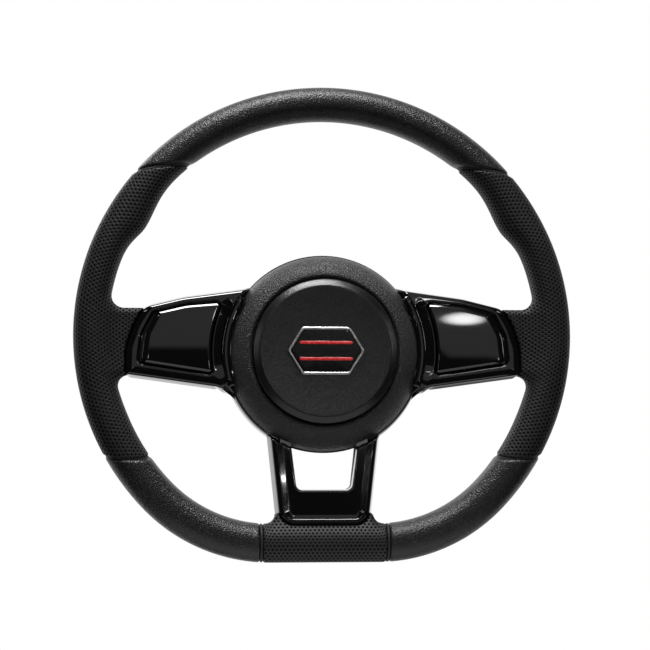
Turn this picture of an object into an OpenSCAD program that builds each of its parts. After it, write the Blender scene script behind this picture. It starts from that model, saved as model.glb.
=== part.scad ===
// Flat-bottomed sports steering wheel. X runs right, Z up and Y to the back; the driver sits at -Y.
// Depths named _d are measured forward from the face that seats on the column, which lies at Y = 0.

/* [Rim] */
// Radius of the round part of the rim, to its outer edge
rim_r = 185; // [183:0.5:190]
// Height of the rim circle's centre above the hub axis
rim_rise = 13; // [10:0.5:16]
// How far the flat bottom cuts into the rim's circle
flat_cut = 16.8; // [14:0.2:19]
// How much tighter than the rim the arcs are that lead to its flat
blend_in = 55; // [49:1:61]
// Width of the tube at the top, seen from the front
tube_top_w = 25.2; // [23:0.2:28]
// Width of the tube along the flat bottom
tube_flat_w = 28.5; // [26:0.5:30]
// Thickness of the tube from front to back
tube_depth = 31; // [28:0.5:34]
// How far the rim's centre plane lies behind the trims' front
rim_back = 5; // [3:0.5:7]
// How far the thumb rests stand into the opening
thumb_h = 5.6; // [3:0.2:6.5]
// Angle of the thumb rests above the horizontal
thumb_angle = 31; // [28:1:36]
// Radius of the steel rod inside the rim
rod_r = 6; // [5:0.5:7]
// Clearance between the rod and the foam round it
rod_gap = 0.4; // [0.3:0.05:0.6]

/* [Seams] */
// Width of the flush seams between the grip sections
seam_w = 1.4; // [1:0.1:2.4]
// Width of the raised bands at both ends of the flat bottom
band_w = 2.4; // [1.6:0.2:4]
// How far the seams lie below the grips
seam_sink = 0.8; // [0.4:0.1:1.5]
// Angle of the upper seams' outer ends above the horizontal
seam_top_angle = 40.3; // [36:0.1:46]
// Slope of the upper seams, rising inward
seam_tilt = 7.5; // [0:0.5:10]
// Angle of the lower seams' outer ends below the horizontal
seam_low_angle = 29; // [27:0.5:36]
// Distance of the bottom seams from the middle
seam_flat_x = 46.6; // [45:0.2:52]

/* [Spokes] */
// Front face of the gloss spoke trims
trim_d = 50; // [49:0.5:52]
// Thickness of the spoke trims, from their joint with the rear cover to their front
trim_t = 14; // [13:0.5:16]
// Bevel round the trims' front edge
trim_bevel = 2; // [1:0.25:3]
// Thickness of the trims' front wall
trim_wall = 3.5; // [2.5:0.25:4]
// How far the trims' side walls run in from their outline
trim_side = 3; // [2:0.25:3.5]
// Height of the side spokes' top edge at the hub
spoke_top_z = 46; // [42:0.5:48]
// Height of the side spokes' top corner at the rim
spoke_rim_z = 35.5; // [34:0.5:37]
// Drop of the side spokes' bottom edge at the hub
spoke_drop = 25.7; // [23:0.2:27]
// Distance from the side spokes' ends to the rim's outer edge
spoke_gap = 38; // [36:0.5:40]
// How far the blank panels stand forward of the trim
panel_rise = 3; // [1.5:0.25:4]
// Width of the groove round the blank panels
panel_groove = 1.2; // [0.8:0.1:2]
// Depth of the pocket that a blank panel sits in
panel_seat = 1.5; // [1:0.1:2]
// Half width of the lower spoke at the hub
leg_top_x = 40.6; // [39:0.2:44]
// Half width of the lower spoke near its foot
leg_foot_x = 34; // [33:0.2:36]
// How far the lower spoke's foot reaches into the rim's tube
leg_lap = 1.3; // [0.5:0.1:3]
// Corner radius of the lower spoke's foot
leg_foot_r = 12; // [8:0.5:14]
// Half width of the window at its top
window_top_x = 23.5; // [20:0.2:25]
// Half width of the window at its bottom
window_low_x = 20.8; // [18:0.2:22]
// Share of the lower spoke below the window's upper edge that the window takes
window_share = 0.51; // [0.42:0.01:0.55]
// Distance of the window's upper edge from the dome
window_gap = 8.5; // [7.5:0.1:10.5]

/* [Hub] */
// Radius of the hub cover's dome, where the spoke trims meet it
hub_r = 66.5; // [65:0.25:69]
// How far the hub cover's skirt stands out past the dome between the spokes
skirt_w = 6.5; // [5.5:0.25:7.5]
// How far the dome's shoulder lies behind the trims' front
shoulder_back = 0.5; // [0:0.25:1.5]
// Distance from the horn button to the lip round it
lip_w = 2; // [1.5:0.25:3]
// How far that lip stands forward of the trims
lip_rise = 7; // [6:0.25:8]
// Wall of the hub cover
cover_skin = 3; // [2:0.25:4]
// Distance from the horn button's edge to the dome's
dome_w = 13; // [12.5:0.25:16]
// Width of the horn button's rounded edge
button_edge = 4; // [3:0.25:7]
// How far the horn button stands forward of the trims
button_rise = 14; // [12:0.25:16]
// Wall of the horn button
button_wall = 3.5; // [2.5:0.25:4]
// Running gap round the horn button
button_gap = 0.7; // [0.4:0.05:0.9]
// Width of the blank badge
badge_w = 57; // [40:1:64]
// Height of the blank badge
badge_h = 35; // [24:1:40]
// Width of the badge's frame
badge_frame = 2.2; // [1.5:0.1:3]
// How far the badge's frame stands off the disc
badge_rise = 1.8; // [1.2:0.1:2.6]
// How far the badge's field stands off the disc
field_rise = 1.1; // [0.6:0.1:1.1]
// Travel of the horn button
horn_travel = 2.5; // [1.5:0.1:2.6]

/* [Column seat and fixings] */
// Radius of the bore that takes the column
bore_r = 8.75; // [8:0.05:9.5]
// Length of that bore
bore_l = 24; // [20:1:26]
// Radius of the boss round the bore
boss_r = 19; // [17:0.5:20]
// Radius of the recess for the centre nut
nut_recess_r = 15; // [14.5:0.5:16]
// Width of the centre nut across its corners
nut_w = 26; // [22:1:27]
// Distance from the edge of the cast hub plate to the dome's
plate_in = 14.5; // [12.5:0.5:16.5]
// How far the hub plate's rear face lies behind the trims' joint
plate_back = 6; // [5:0.5:7]
// Thickness of the hub plate
plate_t = 8; // [7:0.5:9]
// Thickness of the cast arms
arm_t = 7.5; // [6:0.25:8]
// Lower edge of the side arms, below the hub axis
arm_low = 6; // [4:0.5:8]
// Upper edge of the side arms
arm_high = 22; // [18:0.5:24]
// Distance of the lower legs from the middle
leg_x = 28.5; // [28:0.25:29]
// Width of the lower legs
leg_w = 8; // [7:0.25:9]
// Gap between the arms and the rod, and round the arms in the foam
arm_gap = 0.3; // [0.2:0.05:0.5]
// Radius of the horn guides
guide_r = 3; // [2.5:0.1:3.5]
// Radial clearance of the guides in the hub plate
guide_fit = 0.05; // [0.03:0.01:0.08]
// Radius of the spring coils, to the middle of the wire
coil_r = 4.7; // [4.5:0.1:5.5]
// Radius of the spring wire
wire_r = 0.45; // [0.35:0.05:0.6]
// Turns of each spring
coil_turns = 3.5; // [2.5:0.5:4]
// Radius of the trim screws
screw_r = 1.95; // [1.5:0.05:2.2]
// Radius of the screw heads
head_r = 3.8; // [3.2:0.1:4]
// Thickness of the screw heads
head_t = 2.4; // [1.8:0.1:2.8]
// Distance of the cover screws from the hub plate's edge
cover_screw_in = 16; // [14:0.5:18]
// Outer wall of the rear cover
cover_wall = 2.5; // [2:0.25:3]

/* [Hidden] */
$fn = 96;

// Sizes that follow from the ones above.
flat_drop = rim_r - flat_cut - rim_rise;
blend_r = rim_r - blend_in;
rim_d = trim_d - rim_back;
split_d = trim_d - trim_t;
plate_d = split_d - plate_back;
spoke_reach = rim_r - spoke_gap;
leg_drop = flat_drop - tube_flat_w + leg_lap;
window_top_r = hub_r + window_gap;
window_drop = window_top_r + window_share * (leg_drop - window_top_r);
skirt_r = hub_r + skirt_w;
shoulder_d = trim_d - shoulder_back;
button_r = hub_r - dome_w;
button_flat_r = button_r - button_edge;
button_d = trim_d + button_rise;
lip_r = button_r + lip_w;
lip_d = trim_d + lip_rise;
plate_r = hub_r - plate_in;
cover_screw_ring = plate_r - cover_screw_in;
guide_x = 0.6 * (button_r - button_wall);
seam_low_drop = rim_r * sin(seam_low_angle) - rim_rise;

// The rim's outline, by the angle f from straight down, as seen from its own centre.
flat_dist = rim_rise + flat_drop;
blend_z = flat_dist - blend_r;
blend_x = sqrt((rim_r - blend_r) * (rim_r - blend_r) - blend_z * blend_z);
flat_f = atan(blend_x / flat_dist);
blend_f = atan(blend_x / blend_z);
side_r = rim_r - tube_flat_w;

function arc_reach(f, r) =
  let (m = blend_x * sin(f) + blend_z * cos(f))
  m + sqrt(m * m - blend_x * blend_x - blend_z * blend_z + r * r);
function outline(f, drop) =
  let (flat = (flat_dist - drop) / cos(f))
  f < atan(blend_x / (flat_dist - drop)) ? flat
  : f < blend_f ? arc_reach(f, blend_r - drop) : rim_r - drop;
function ease(t) = let (c = min(1, max(0, t))) c * c * (3 - 2 * c);
function thumb(f) =
  let (a = f - 90 - thumb_angle, w = a > 0 ? 8.5 : 5.5) thumb_h * exp(-a * a / w / w);
function rim_out(f) = outline(f, 0);
function rim_in(f) =
  f > 130 ? rim_r - tube_top_w - thumb(f)
  : outline(f, tube_flat_w) + (tube_flat_w - tube_top_w) * ease((f - 66) / 36) - thumb(f);

// One cross-section of the tube at f, as points in space. It is drawn in by inset.
ring_n = 26;
function bulge(v) = sign(v) * pow(abs(v), 0.9);
function tube_ring(f, inset) =
  let (mid = (rim_out(f) + rim_in(f)) / 2, half = (rim_out(f) - rim_in(f)) / 2 - inset)
  let (deep = tube_depth / 2 - inset)
  [for (i = [0 : ring_n - 1])
    let (t = 360 * i / ring_n, u = mid + half * bulge(cos(t)), v = deep * bulge(sin(t)))
    [sin(f) * u, -rim_d - v, rim_rise - cos(f) * u]];

// The rod's path runs a constant distance inside the rim's outer edge.
rod_in = tube_flat_w / 2 - 0.25;
hole_n = 12;
function hole_ring(f, r) =
  let (mid = outline(f, rod_in))
  [for (i = [0 : hole_n - 1])
    let (t = 360 * i / hole_n)
    [sin(f) * (mid + r * cos(t)), -rim_d - r * sin(t), rim_rise - cos(f) * (mid + r * cos(t))]];

// One link of a sweep: the solid between two sections with the same number of points.
module link(a, b) {
  n = len(a);
  hull() polyhedron(
    points = concat(a, b),
    faces = concat(
      [[for (i = [0 : n - 1]) i], [for (i = [0 : n - 1]) 2 * n - 1 - i]],
      [for (i = [0 : n - 1]) [i, i + n, (i + 1) % n + n, (i + 1) % n]]));
}

// Angles of the sections, closer together where the outline turns quickly.
stations = concat(
  [0, 7, flat_f, 19, 25, 31, 37, 43, blend_f],
  [for (f = [52 : 6 : 106]) f],
  [for (f = [110 : 3 : 137]) f],
  [for (f = [143 : 6.2 : 174]) f],
  [180]);
last = len(stations) - 1;

module tube(f0, f1, inset = 0) {
  for (i = [0 : last - 1])
    if (stations[i + 1] > f0 && stations[i] < f1)
      link(tube_ring(stations[i], inset), tube_ring(stations[i + 1], inset));
}
module tube_hole(f0, f1) {
  wide = (rod_r + rod_gap) / cos(180 / hole_n);
  for (i = [0 : last - 1])
    if (stations[i + 1] > f0 && stations[i] < f1)
      link(hole_ring(stations[i], wide), hole_ring(stations[i + 1], wide));
}

// Shapes drawn as seen from the front run between two depths; turned shapes are drawn as radius, depth.
module slab(d0, d1) translate([0, -d0, 0]) rotate([90, 0, 0]) linear_extrude(d1 - d0) children();
module spun() rotate([90, 0, 0]) rotate_extrude() children();
module pin(x, z, r, d0, d1) translate([x, -d0, z]) rotate([90, 0, 0]) cylinder(r = r, h = d1 - d0);
module both() {
  children();
  mirror([1, 0, 0]) children();
}

// Outlines of the side spoke and of the lower spoke.
spoke_low_z = -spoke_drop;
spoke_points = [
  [hub_r - 22.5, spoke_top_z + 1.8], [hub_r - 9.5, spoke_top_z], [spoke_reach - 43, spoke_rim_z + 4.1],
  [spoke_reach - 26.5, spoke_rim_z + 0.5], [spoke_reach - 19.5, spoke_rim_z - 1.6],
  [spoke_reach - 14.6, spoke_rim_z - 4.3], [spoke_reach - 10.7, spoke_rim_z - 8.2],
  [spoke_reach - 6, spoke_rim_z - 15.5], [spoke_reach - 0.5, spoke_rim_z - 30.5],
  [spoke_reach, spoke_rim_z - 48.5], [spoke_reach - 0.8, spoke_rim_z - 50.9],
  [spoke_reach - 3, spoke_rim_z - 52], [hub_r + 8.5, spoke_low_z], [hub_r - 22.5, spoke_low_z - 4]];
spoke_mid = [spoke_reach - 42, 8];
function drawn_in(p, c, by) = let (v = c - p, l = norm(v)) p + v * by / l;

module side_shape(inset = 0) polygon([for (p = spoke_points) drawn_in(p, spoke_mid, inset * 1.3)]);
module side_fillet() translate([hub_r, spoke_low_z])
  polygon([[-6.5, 5.7], [11.5, -0.2], [7.7, -1.6], [5.1, -3.9], [2.1, -8.3], [-4.5, -13.3]]);
module lower_shape(inset = 0) {
  foot_z = leg_foot_r - leg_drop;
  hull() {
    for (s = [-1, 1]) translate([s * (leg_foot_x - leg_foot_r), foot_z]) circle(r = leg_foot_r - inset, $fn = 32);
    polygon([[inset - leg_top_x, 10.5 - hub_r], [leg_top_x - inset, 10.5 - hub_r],
      [leg_foot_x - inset, foot_z], [inset - leg_foot_x, foot_z]]);
  }
}
module window_cut(d0, d1) {
  r = 4.5;
  difference() {
    slab(d0, d1) hull() {
      for (s = [-1, 1]) translate([s * (window_low_x - r), r - window_drop]) circle(r = r, $fn = 32);
      translate([-window_top_x - 0.5, -window_top_r + 7]) square([2 * window_top_x + 1, 1]);
    }
    pin(0, 0, window_top_r, d0 - 1, d1 + 1);
  }
}
module panel_shape(inset = 0) {
  hull() {
    for (p = panel_corners) translate([p[0], p[1]]) circle(r = p[2] - inset, $fn = 32);
  }
}
panel_corners = [
  [hub_r + 9, 33.6, 3.5], [spoke_reach - 45, 30.4, 3.5], [spoke_reach - 25.6, 25.2, 3.5], [spoke_reach - 17.4, 9.5, 3],
  [spoke_reach - 15.6, -5.4, 2.6], [hub_r + 15, -12, 3]];
panel_arc_r = hub_r + 16.8;

// Where each seam cuts the rim, as a strip of the given width.
seam_out = [rim_r * cos(seam_top_angle), rim_rise + rim_r * sin(seam_top_angle)];
module seam_upper(w) translate(seam_out) rotate(-seam_tilt) translate([-60, -w / 2]) square([100, w]);
module seam_lower(w) translate([rim_r * 0.6, -seam_low_drop - w / 2]) square([rim_r / 2, w]);
module seam_flat(w) translate([seam_flat_x - w / 2, -rim_r]) square([w, rim_r / 2]);
module above_upper() translate(seam_out) rotate(-seam_tilt) translate([-2 * rim_r, seam_w / 2]) square([4 * rim_r, rim_r]);
module below_upper() translate(seam_out) rotate(-seam_tilt) translate([-60, -2 * rim_r - seam_w / 2]) square([rim_r, 2 * rim_r]);

module spoke_hollow() slab(split_d - 8, trim_d + 2) {
  side_shape();
  side_fillet();
}
module arm_hollow() {
  w = arm_high + arm_low + 2 * arm_gap;
  start = spoke_reach - 47;
  translate([start, -split_d - arm_t - arm_gap, -arm_low - arm_gap])
    cube([rim_r - 19.4 - start, arm_t + 2 * arm_gap, w]);
}

// A slice through the foot of a side spoke at height z, which tapers from the tube to the trim.
// Its inner end lies at x, with half thickness t about the spoke's own middle depth.
web_in = rim_r - 13.5;
web_mid = rim_d - 4.8;
web_t = 10.6;
function web_slice(z, x, t) = [
  [x, 1 - web_mid + t, z], [x + 1.6, -web_mid + t, z], [web_in - 5, 14.4 - rim_d, z], [web_in, 14 - rim_d, z],
  [web_in, -rim_d - 14.4, z], [web_in - 5, -rim_d - 12.6, z], [x + 5, -web_mid - t - 1.6, z],
  [x + 1.6, -web_mid - t, z], [x, 1 - web_mid - t, z]];
web_steps = [
  [spoke_rim_z + 9, spoke_reach + 13.4, 2], [spoke_rim_z + 5.3, spoke_reach + 11, 4.5],
  [spoke_rim_z + 1.9, spoke_reach + 8.4, 7], [spoke_rim_z - 1.1, spoke_reach + 4.8, 8.8],
  [spoke_rim_z - 2.9, spoke_reach + 0.2, 9.8], [spoke_rim_z - 3.6, spoke_reach - 17, web_t],
  [spoke_rim_z - 7.4, spoke_reach - 13.2, web_t], [spoke_rim_z - 15.1, spoke_reach - 8.2, web_t],
  [spoke_rim_z - 30.5, spoke_reach - 2, web_t], [spoke_rim_z - 48.5, spoke_reach - 2, web_t],
  [spoke_rim_z - 52, spoke_reach - 2.4, web_t], [spoke_rim_z - 53.3, spoke_reach + 1, 9.8],
  [spoke_rim_z - 55.3, spoke_reach + 4.3, 8.5], [spoke_rim_z - 58.3, spoke_reach + 7.2, 7],
  [spoke_rim_z - 62.5, spoke_reach + 9.8, 4.5], [spoke_rim_z - 69, spoke_reach + 11.9, 2]];

// A slice through the foot of the lower spoke at x, whose upper end lies at z with half thickness t.
foot_in = -flat_drop + 14;
function foot_slice(x, z, t) = [
  [x, 1 - web_mid + t, z], [x, -web_mid + t, z - 1.6], [x, 14.4 - rim_d, foot_in + 4], [x, 14 - rim_d, foot_in],
  [x, -rim_d - 14, foot_in], [x, -rim_d - 12.4, foot_in + 4], [x, -web_mid - t, z - 1.6],
  [x, 1 - web_mid - t, z]];
foot_steps = [
  [leg_foot_x - 12, 3, web_t], [leg_foot_x - 4, 6.5, web_t], [leg_foot_x, 7.8, web_t],
  [leg_foot_x + 1.6, 6.6, 9.6], [leg_foot_x + 3.6, 4.7, 8.4], [leg_foot_x + 6, 2.7, 6.6],
  [leg_foot_x + 9, 0.9, 4.5], [leg_foot_x + 12.4, -0.8, 2]];

module grip_side() {
  difference() {
    union() {
      intersection() {
        tube(40, 150);
        slab(0, 90) intersection() {
          below_upper();
          translate([rim_r * 0.48, seam_w / 2 - seam_low_drop]) square([rim_r, 2 * rim_r]);
        }
      }
      for (i = [0 : len(web_steps) - 2])
        link(web_slice(web_steps[i][0], web_steps[i][1], web_steps[i][2]),
          web_slice(web_steps[i + 1][0], web_steps[i + 1][1], web_steps[i + 1][2]));
    }
    tube_hole(40, 155);
    spoke_hollow();
    arm_hollow();
  }
}
module grip_low() {
  difference() {
    intersection() {
      tube(10, 70);
      slab(0, 90) translate([seam_flat_x + band_w / 2, -300])
        square([rim_r, 300 - seam_low_drop - seam_w / 2]);
    }
    tube_hole(0, 80);
  }
}

// Cast arms, hub plate and column boss in one piece.
module armature() color("silver") {
  difference() {
    union() {
      pin(0, 0, boss_r, 0, plate_d + plate_t);
      pin(0, 0, plate_r, plate_d, plate_d + plate_t);
      intersection() {
        pin(0, 0, hub_r - 0.6, plate_d, plate_d + root_t);
        union() {
          both() translate([plate_r - 14, -plate_d - root_t, -arm_low])
            cube([30, root_t, arm_high + arm_low]);
          both() translate([leg_x - leg_w / 2, -plate_d - root_t, -hub_r])
            cube([leg_w, root_t, hub_r - 0.69 * plate_r]);
        }
      }
      both() translate([arm_start, -split_d - arm_t, -arm_low])
        cube([rim_r - rod_in - rod_r - 0.85 - arm_start, arm_t, arm_high + arm_low]);
      both() translate([leg_x - leg_w / 2, -split_d - arm_t, -flat_drop + rod_in + rod_r + arm_gap])
        cube([leg_w, arm_t, flat_drop - rod_in - rod_r - arm_gap - leg_start]);
    }
    pin(0, 0, bore_r, -1, bore_l + 1);
    pin(0, 0, nut_recess_r, bore_l, 60);
    for (x = [-guide_x, guide_x]) for (z = [-guide_x, guide_x]) pin(x, z, guide_r + guide_fit, plate_d - 10, plate_d + 20);
    for (a = [90, 210, 330])
      pin(cover_screw_ring * cos(a), cover_screw_ring * sin(a), screw_r + 0.05, plate_d - 10, plate_d + plate_t - 2);
    for (p = trim_screw_at) pin(p[0], p[1], screw_r + 0.35, split_d - 6, trim_d);
  }
}
// The arms' thick roots stay under the horn's plate, and the arms start outside it.
root_t = 10.5;
plate_out = button_r - 0.3;
arm_start = plate_out + 1;
leg_start = sqrt(arm_start * arm_start - (leg_x - leg_w / 2) * (leg_x - leg_w / 2)) - 0.4;
trim_screw_x = hub_r + 0.466 * (spoke_reach - hub_r);
trim_screw_low = 16 - leg_drop;
trim_screw_at = [[trim_screw_x, 8], [-trim_screw_x, 8], [leg_x, trim_screw_low], [-leg_x, trim_screw_low]];

// The rod is bent from one bar and closed into a loop under the foam.
module rim_rod() color("dimgray")
  both() for (i = [0 : last - 1])
    link(hole_ring(stations[i], rod_r), hole_ring(stations[i + 1], rod_r));

module grip_top() color([0.12, 0.12, 0.12]) {
  difference() {
    both() intersection() {
      tube(118, 180);
      slab(0, 90) above_upper();
    }
    both() tube_hole(110, 180);
  }
}
module grip_right() color([0.17, 0.17, 0.17]) grip_side();
module grip_left() color([0.17, 0.17, 0.17]) mirror([1, 0, 0]) grip_side();
module grip_lower_right() color([0.12, 0.12, 0.12]) grip_low();
module grip_lower_left() color([0.12, 0.12, 0.12]) mirror([1, 0, 0]) grip_low();
module grip_bottom() color([0.17, 0.17, 0.17]) {
  inner = -flat_drop + tube_flat_w;
  difference() {
    union() {
      intersection() {
        both() tube(0, 24);
        slab(0, 90) translate([band_w / 2 - seam_flat_x, -rim_r - 15]) square([2 * seam_flat_x - band_w, 0.6 * rim_r]);
      }
      both() for (i = [0 : len(foot_steps) - 2])
        if (foot_steps[i + 1][0] < seam_flat_x - band_w / 2)
          link(foot_slice(foot_steps[i][0], inner + foot_steps[i][1], foot_steps[i][2]),
            foot_slice(foot_steps[i + 1][0], inner + foot_steps[i + 1][1], foot_steps[i + 1][2]));
    }
    both() tube_hole(0, 30);
    slab(split_d - 8, trim_d + 2) lower_shape();
    both() translate([leg_x - leg_w / 2 - arm_gap, -split_d - arm_t - arm_gap, -flat_drop + rod_in])
      cube([leg_w + 2 * arm_gap, arm_t + 2 * arm_gap, 40]);
  }
}

// Six inserts that close the seams: four set below the grips and two bands at the flat.
module seam_inserts() color([0.05, 0.05, 0.05]) {
  difference() {
    both() {
      intersection() {
        tube(124, 150, seam_sink);
        slab(0, 90) seam_upper(seam_w);
      }
      intersection() {
        tube(50, 72, seam_sink);
        slab(0, 90) seam_lower(seam_w);
      }
      intersection() {
        tube(10, 25, seam_sink / 2);
        slab(0, 90) seam_flat(band_w);
      }
    }
    both() {
      tube_hole(110, 155);
      tube_hole(45, 80);
      tube_hole(0, 30);
    }
  }
}

module trim_side_piece() {
  difference() {
    union() {
      hull() {
        slab(split_d, trim_d - trim_bevel) side_shape();
        slab(split_d, trim_d) side_shape(trim_bevel);
      }
      slab(split_d, trim_d - trim_bevel) side_fillet();
    }
    pin(0, 0, hub_r, 0, 90);
    difference() {
      slab(split_d - 1, trim_d - trim_wall) side_shape(trim_side);
      pin(0, 0, hub_r + trim_side, 0, 90);
      pin(trim_screw_at[0][0], trim_screw_at[0][1], screw_r + 2.4, split_d + arm_t, 60);
    }
    translate([0, -split_d - arm_t - arm_gap, -arm_low - arm_gap])
      cube([200, arm_t + arm_gap + 1, arm_high + arm_low + 2 * arm_gap]);
    pin(trim_screw_at[0][0], trim_screw_at[0][1], screw_r + 0.05, split_d - 6, trim_d - 2.6);
    difference() {
      slab(trim_d - panel_seat, trim_d + 1) panel_shape(-panel_groove);
      pin(0, 0, panel_arc_r - panel_groove, 0, 90);
    }
  }
}
module spoke_trim_right() color([0.03, 0.03, 0.03]) trim_side_piece();
module spoke_trim_left() color([0.03, 0.03, 0.03]) mirror([1, 0, 0]) trim_side_piece();
module spoke_trim_lower() color([0.03, 0.03, 0.03]) {
  difference() {
    hull() {
      slab(split_d, trim_d - trim_bevel) lower_shape();
      slab(split_d, trim_d) lower_shape(trim_bevel);
    }
    pin(0, 0, hub_r, 0, 90);
    window_cut(20, 70);
    both() {
      translate([leg_x - leg_w / 2 - arm_gap, -split_d - arm_t - arm_gap, -flat_drop])
        cube([leg_w + 2 * arm_gap, arm_t + arm_gap + 1, flat_drop]);
      pin(leg_x, trim_screw_low, screw_r + 0.05, split_d - 6, trim_d - 2.6);
    }
  }
}

module panel() {
  difference() {
    hull() {
      slab(trim_d - panel_seat, trim_d + panel_rise - 1.6) panel_shape();
      slab(trim_d - panel_seat, trim_d + panel_rise) panel_shape(2);
    }
    pin(0, 0, panel_arc_r, 0, 90);
  }
}
module blank_panel_right() color([0.03, 0.03, 0.03]) panel();
module blank_panel_left() color([0.03, 0.03, 0.03]) mirror([1, 0, 0]) panel();

// The hub cover shows as a skirt between the spokes and as a dome inside them, in one moulding.
// Its base runs on under the trims as a ring, and the arms pass through notches in its wall.
module hub_cover() color([0.14, 0.14, 0.14]) {
  bore = button_r + button_gap;
  base = split_d - 2;
  difference() {
    spun() polygon([
      [hub_r + 0.6, base], [skirt_r, base], [skirt_r, base + 4], [skirt_r - 0.5, base + 7.5],
      [skirt_r - 1.8, base + 10.5], [skirt_r - 3.8, shoulder_d - 2.6], [hub_r + 0.6, shoulder_d - 0.8],
      [hub_r - 1, shoulder_d], [hub_r - 3, shoulder_d + 1.8], [hub_r - 5.6, lip_d - 3.4],
      [hub_r - 8.4, lip_d - 1], [lip_r + 0.6, lip_d], [lip_r, lip_d - 0.3], [lip_r - 0.6, lip_d - 2.2],
      [bore, lip_d - 3], [bore, hem_d], [bore + cover_skin, hem_d], [bore + cover_skin, lip_d - 5],
      [hub_r - 8, lip_d - 5], [hub_r - cover_skin, shoulder_d - 3], [hub_r - cover_skin, hem_d],
      [hub_r - cover_skin, split_d], [hub_r + 0.6, split_d]]);
    difference() {
      slab(split_d, 80) {
        side_shape();
        side_fillet();
        mirror([1, 0]) side_shape();
        mirror([1, 0]) side_fillet();
        lower_shape();
      }
      pin(0, 0, hub_r, 0, 90);
    }
    both() {
      translate([0, -split_d - arm_t - arm_gap, -arm_low - arm_gap])
        cube([200, arm_t + arm_gap, arm_high + arm_low + 2 * arm_gap]);
      translate([leg_x - leg_w / 2 - arm_gap, -split_d - arm_t - arm_gap, -200])
        cube([leg_w + 2 * arm_gap, arm_t + arm_gap, 170]);
    }
  }
}
hem_d = split_d + arm_t + 0.7;

cover_floor_d = 8;
module rear_cover() color([0.11, 0.11, 0.11]) {
  low = split_d - 7;
  difference() {
    union() {
      spun() polygon([[boss_r + 0.5, cover_floor_d], [skirt_r - 23, cover_floor_d], [skirt_r - 13, low - 14],
        [skirt_r - 4, low], [skirt_r, split_d - 4], [skirt_r, split_d - 2],
        [skirt_r - cover_wall, split_d - 2], [skirt_r - cover_wall - 1.6, low],
        [skirt_r - 15, low - 12], [skirt_r - 24, cover_floor_d + cover_wall],
        [boss_r + 0.5, cover_floor_d + cover_wall]]);
      for (a = [90, 210, 330])
        pin(cover_screw_ring * cos(a), cover_screw_ring * sin(a), 5, cover_floor_d + 1, plate_d);
      difference() {
        slab(low, split_d - 2) cover_arms();
        pin(0, 0, skirt_r - 1.2, 0, 90);
      }
      difference() {
        slab(split_d - 3, split_d) cover_arms();
        pin(0, 0, skirt_r + 0.1, 0, 90);
      }
    }
    window_cut(0, 70);
    for (p = trim_screw_at) {
      pin(p[0], p[1], screw_r + 0.05, 0, 60);
      pin(p[0], p[1], head_r + 0.2, 0, low + head_t);
    }
    for (a = [90, 210, 330])
      pin(cover_screw_ring * cos(a), cover_screw_ring * sin(a), screw_r + 0.05, 0, 60);
  }
}
module cover_arms() {
  side_shape();
  mirror([1, 0]) side_shape();
  lower_shape();
}

module screw(x, z, d0, d1) {
  difference() {
    union() {
      pin(x, z, head_r, d0, d0 + head_t);
      pin(x, z, screw_r, d0 + 1, d1);
    }
    translate([x, -d0 - 1.2, z]) rotate([90, 0, 0]) translate([0, 0, -3]) cylinder(r = 1.6, h = 3, $fn = 6);
  }
}
module trim_screws() color("dimgray")
  for (p = trim_screw_at) screw(p[0], p[1], split_d - 7, trim_d - 3);
module cover_screws() color("dimgray")
  for (a = [90, 210, 330])
    screw(cover_screw_ring * cos(a), cover_screw_ring * sin(a), cover_floor_d - head_t, plate_d + plate_t - 2.5);
module centre_nut() color("gray") {
  difference() {
    pin_hex(nut_w / 2, bore_l, bore_l + 12);
    pin(0, 0, bore_r - 1, 0, 60);
  }
}
module pin_hex(r, d0, d1) translate([0, -d0, 0]) rotate([90, 0, 0]) cylinder(r = r, h = d1 - d0, $fn = 6);

// Horn switch: the button's plate slides on four guides against springs until the stud meets the contact.
plate_back_d = split_d + 9;
plate_front_d = plate_back_d + 1.5;
stud_drop = 0.9;
contact_z = plate_r - 7;
module horn_contact() color("goldenrod")
  pin(0, contact_z, 2.5, plate_d + plate_t, plate_back_d - stud_drop - horn_travel - 0.1);
module contact_stud() color("goldenrod")
  pin(0, contact_z, 2.5, plate_back_d - stud_drop, plate_back_d);

spring_steps = 12;
module spring(x, z) {
  lo = plate_d + plate_t + wire_r + 0.1;
  hi = plate_back_d - wire_r - 0.1;
  count = coil_turns * spring_steps;
  rings = [for (k = [0 : count])
    let (a = 360 * k / spring_steps, d = lo + (hi - lo) * k / count)
    [for (j = [0 : 5])
      let (t = 60 * j, r = coil_r + wire_r * cos(t))
      [x + r * cos(a), -d - wire_r * sin(t), z + r * sin(a)]]];
  points = [for (ring = rings) for (p = ring) p];
  sides = [for (k = [0 : count - 1]) for (j = [0 : 5])
    [k * 6 + j, k * 6 + (j + 1) % 6, k * 6 + 6 + (j + 1) % 6, k * 6 + 6 + j]];
  polyhedron(points = points, faces = concat(
    [[5, 4, 3, 2, 1, 0], [for (j = [0 : 5]) count * 6 + j]], sides), convexity = 10);
}
module horn_springs() color("lightgray")
  for (x = [-guide_x, guide_x]) for (z = [-guide_x, guide_x]) spring(x, z);

module horn_plate() color("silver") {
  difference() {
    pin(0, 0, plate_out, plate_back_d, plate_front_d);
    for (x = [-guide_x, guide_x]) for (z = [-guide_x, guide_x]) pin(x, z, 2.05, 0, 60);
  }
}
module guide_pins() color("gray")
  for (x = [-guide_x, guide_x]) for (z = [-guide_x, guide_x]) {
    pin(x, z, guide_r, plate_d - 1.5, plate_back_d);
    pin(x, z, guide_r + 2, plate_d - 3.3, plate_d - 0.3);
    pin(x, z, 2, plate_back_d - 1, plate_front_d + 0.5);
    pin(x, z, 3.4, plate_front_d, plate_front_d + 1.2);
  }

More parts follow.
